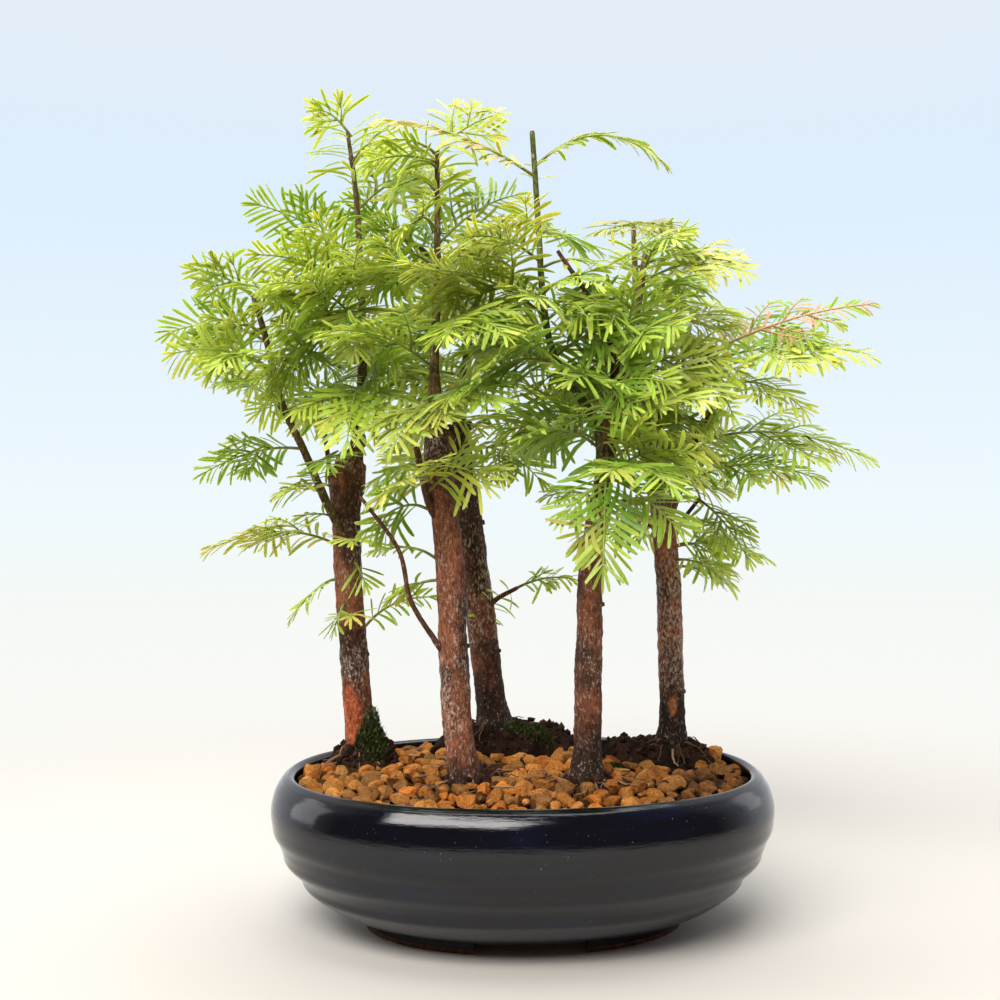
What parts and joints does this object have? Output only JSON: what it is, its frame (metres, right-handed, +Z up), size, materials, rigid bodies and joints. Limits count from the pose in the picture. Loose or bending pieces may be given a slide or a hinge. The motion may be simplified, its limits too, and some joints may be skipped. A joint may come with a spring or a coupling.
{
  "type": "dawn redwood bonsai forest in an oval pot",
  "caption": "Small forest planting of young dawn redwoods with feathery sprays of flat needles, rooted in gravel in a low oval glazed pot.",
  "frame": {"origin": "on the surface that the pot's foot stands on, under the middle of the planting's whole extent, which is also the middle of the pot", "axes": "+X along the pot's length to the right in the picture, +Y to the back of the pot, +Z up along the trunks"},
  "size_m": [0.262, 0.149, 0.3065],
  "materials": {
    "navy_glaze": "gloss",
    "black_mesh": "matte",
    "dark_soil": "matte",
    "clay_gravel": "matte",
    "redwood_bark": "matte",
    "spray_bright": "satin",
    "spray_mid": "satin",
    "spray_deep": "satin"
  },
  "bodies": {
    "root": {"pot": "navy_glaze", "drain_mesh_left": "black_mesh", "drain_mesh_right": "black_mesh", "soil": "dark_soil", "gravel": "clay_gravel", "tree_1_wood": "redwood_bark", "tree_2_wood": "redwood_bark", "tree_3_wood": "redwood_bark", "tree_4_wood": "redwood_bark", "tree_5_wood": "redwood_bark", "tree_1_spray_01": "spray_bright", "tree_1_spray_02": "spray_mid", "tree_1_spray_03": "spray_deep", "tree_1_spray_04": "spray_bright", "tree_1_spray_05": "spray_mid", "tree_1_spray_06": "spray_deep", "tree_1_spray_07": "spray_bright", "tree_1_spray_08": "spray_mid", "tree_1_spray_09": "spray_deep", "tree_1_spray_10": "spray_bright", "tree_1_spray_11": "spray_mid", "tree_1_spray_12": "spray_deep", "tree_1_spray_13": "spray_bright", "tree_1_spray_14": "spray_mid", "tree_1_spray_15": "spray_deep", "tree_2_spray_01": "spray_bright", "tree_2_spray_02": "spray_mid", "tree_2_spray_03": "spray_deep", "tree_2_spray_04": "spray_bright", "tree_2_spray_05": "spray_mid", "tree_2_spray_06": "spray_deep", "tree_2_spray_07": "spray_bright", "tree_3_spray_01": "spray_mid", "tree_3_spray_02": "spray_deep", "tree_3_spray_03": "spray_bright", "tree_3_spray_04": "spray_mid", "tree_3_spray_05": "spray_deep", "tree_3_spray_06": "spray_bright", "tree_4_spray_01": "spray_mid", "tree_4_spray_02": "spray_deep", "tree_4_spray_03": "spray_bright", "tree_4_spray_04": "spray_mid", "tree_4_spray_05": "spray_deep", "tree_4_spray_06": "spray_bright", "tree_4_spray_07": "spray_mid", "tree_4_spray_08": "spray_deep", "tree_4_spray_09": "spray_bright", "tree_4_spray_10": "spray_mid", "tree_5_spray_01": "spray_deep", "tree_5_spray_02": "spray_bright", "tree_5_spray_03": "spray_mid", "tree_5_spray_04": "spray_deep", "tree_5_spray_05": "spray_bright", "tree_5_spray_06": "spray_mid", "tree_5_spray_07": "spray_deep", "tree_5_spray_08": "spray_bright", "tree_5_spray_09": "spray_mid", "tree_5_spray_10": "spray_deep", "tree_5_spray_11": "spray_bright", "tree_5_spray_12": "spray_mid"}
  },
  "joints": []
}
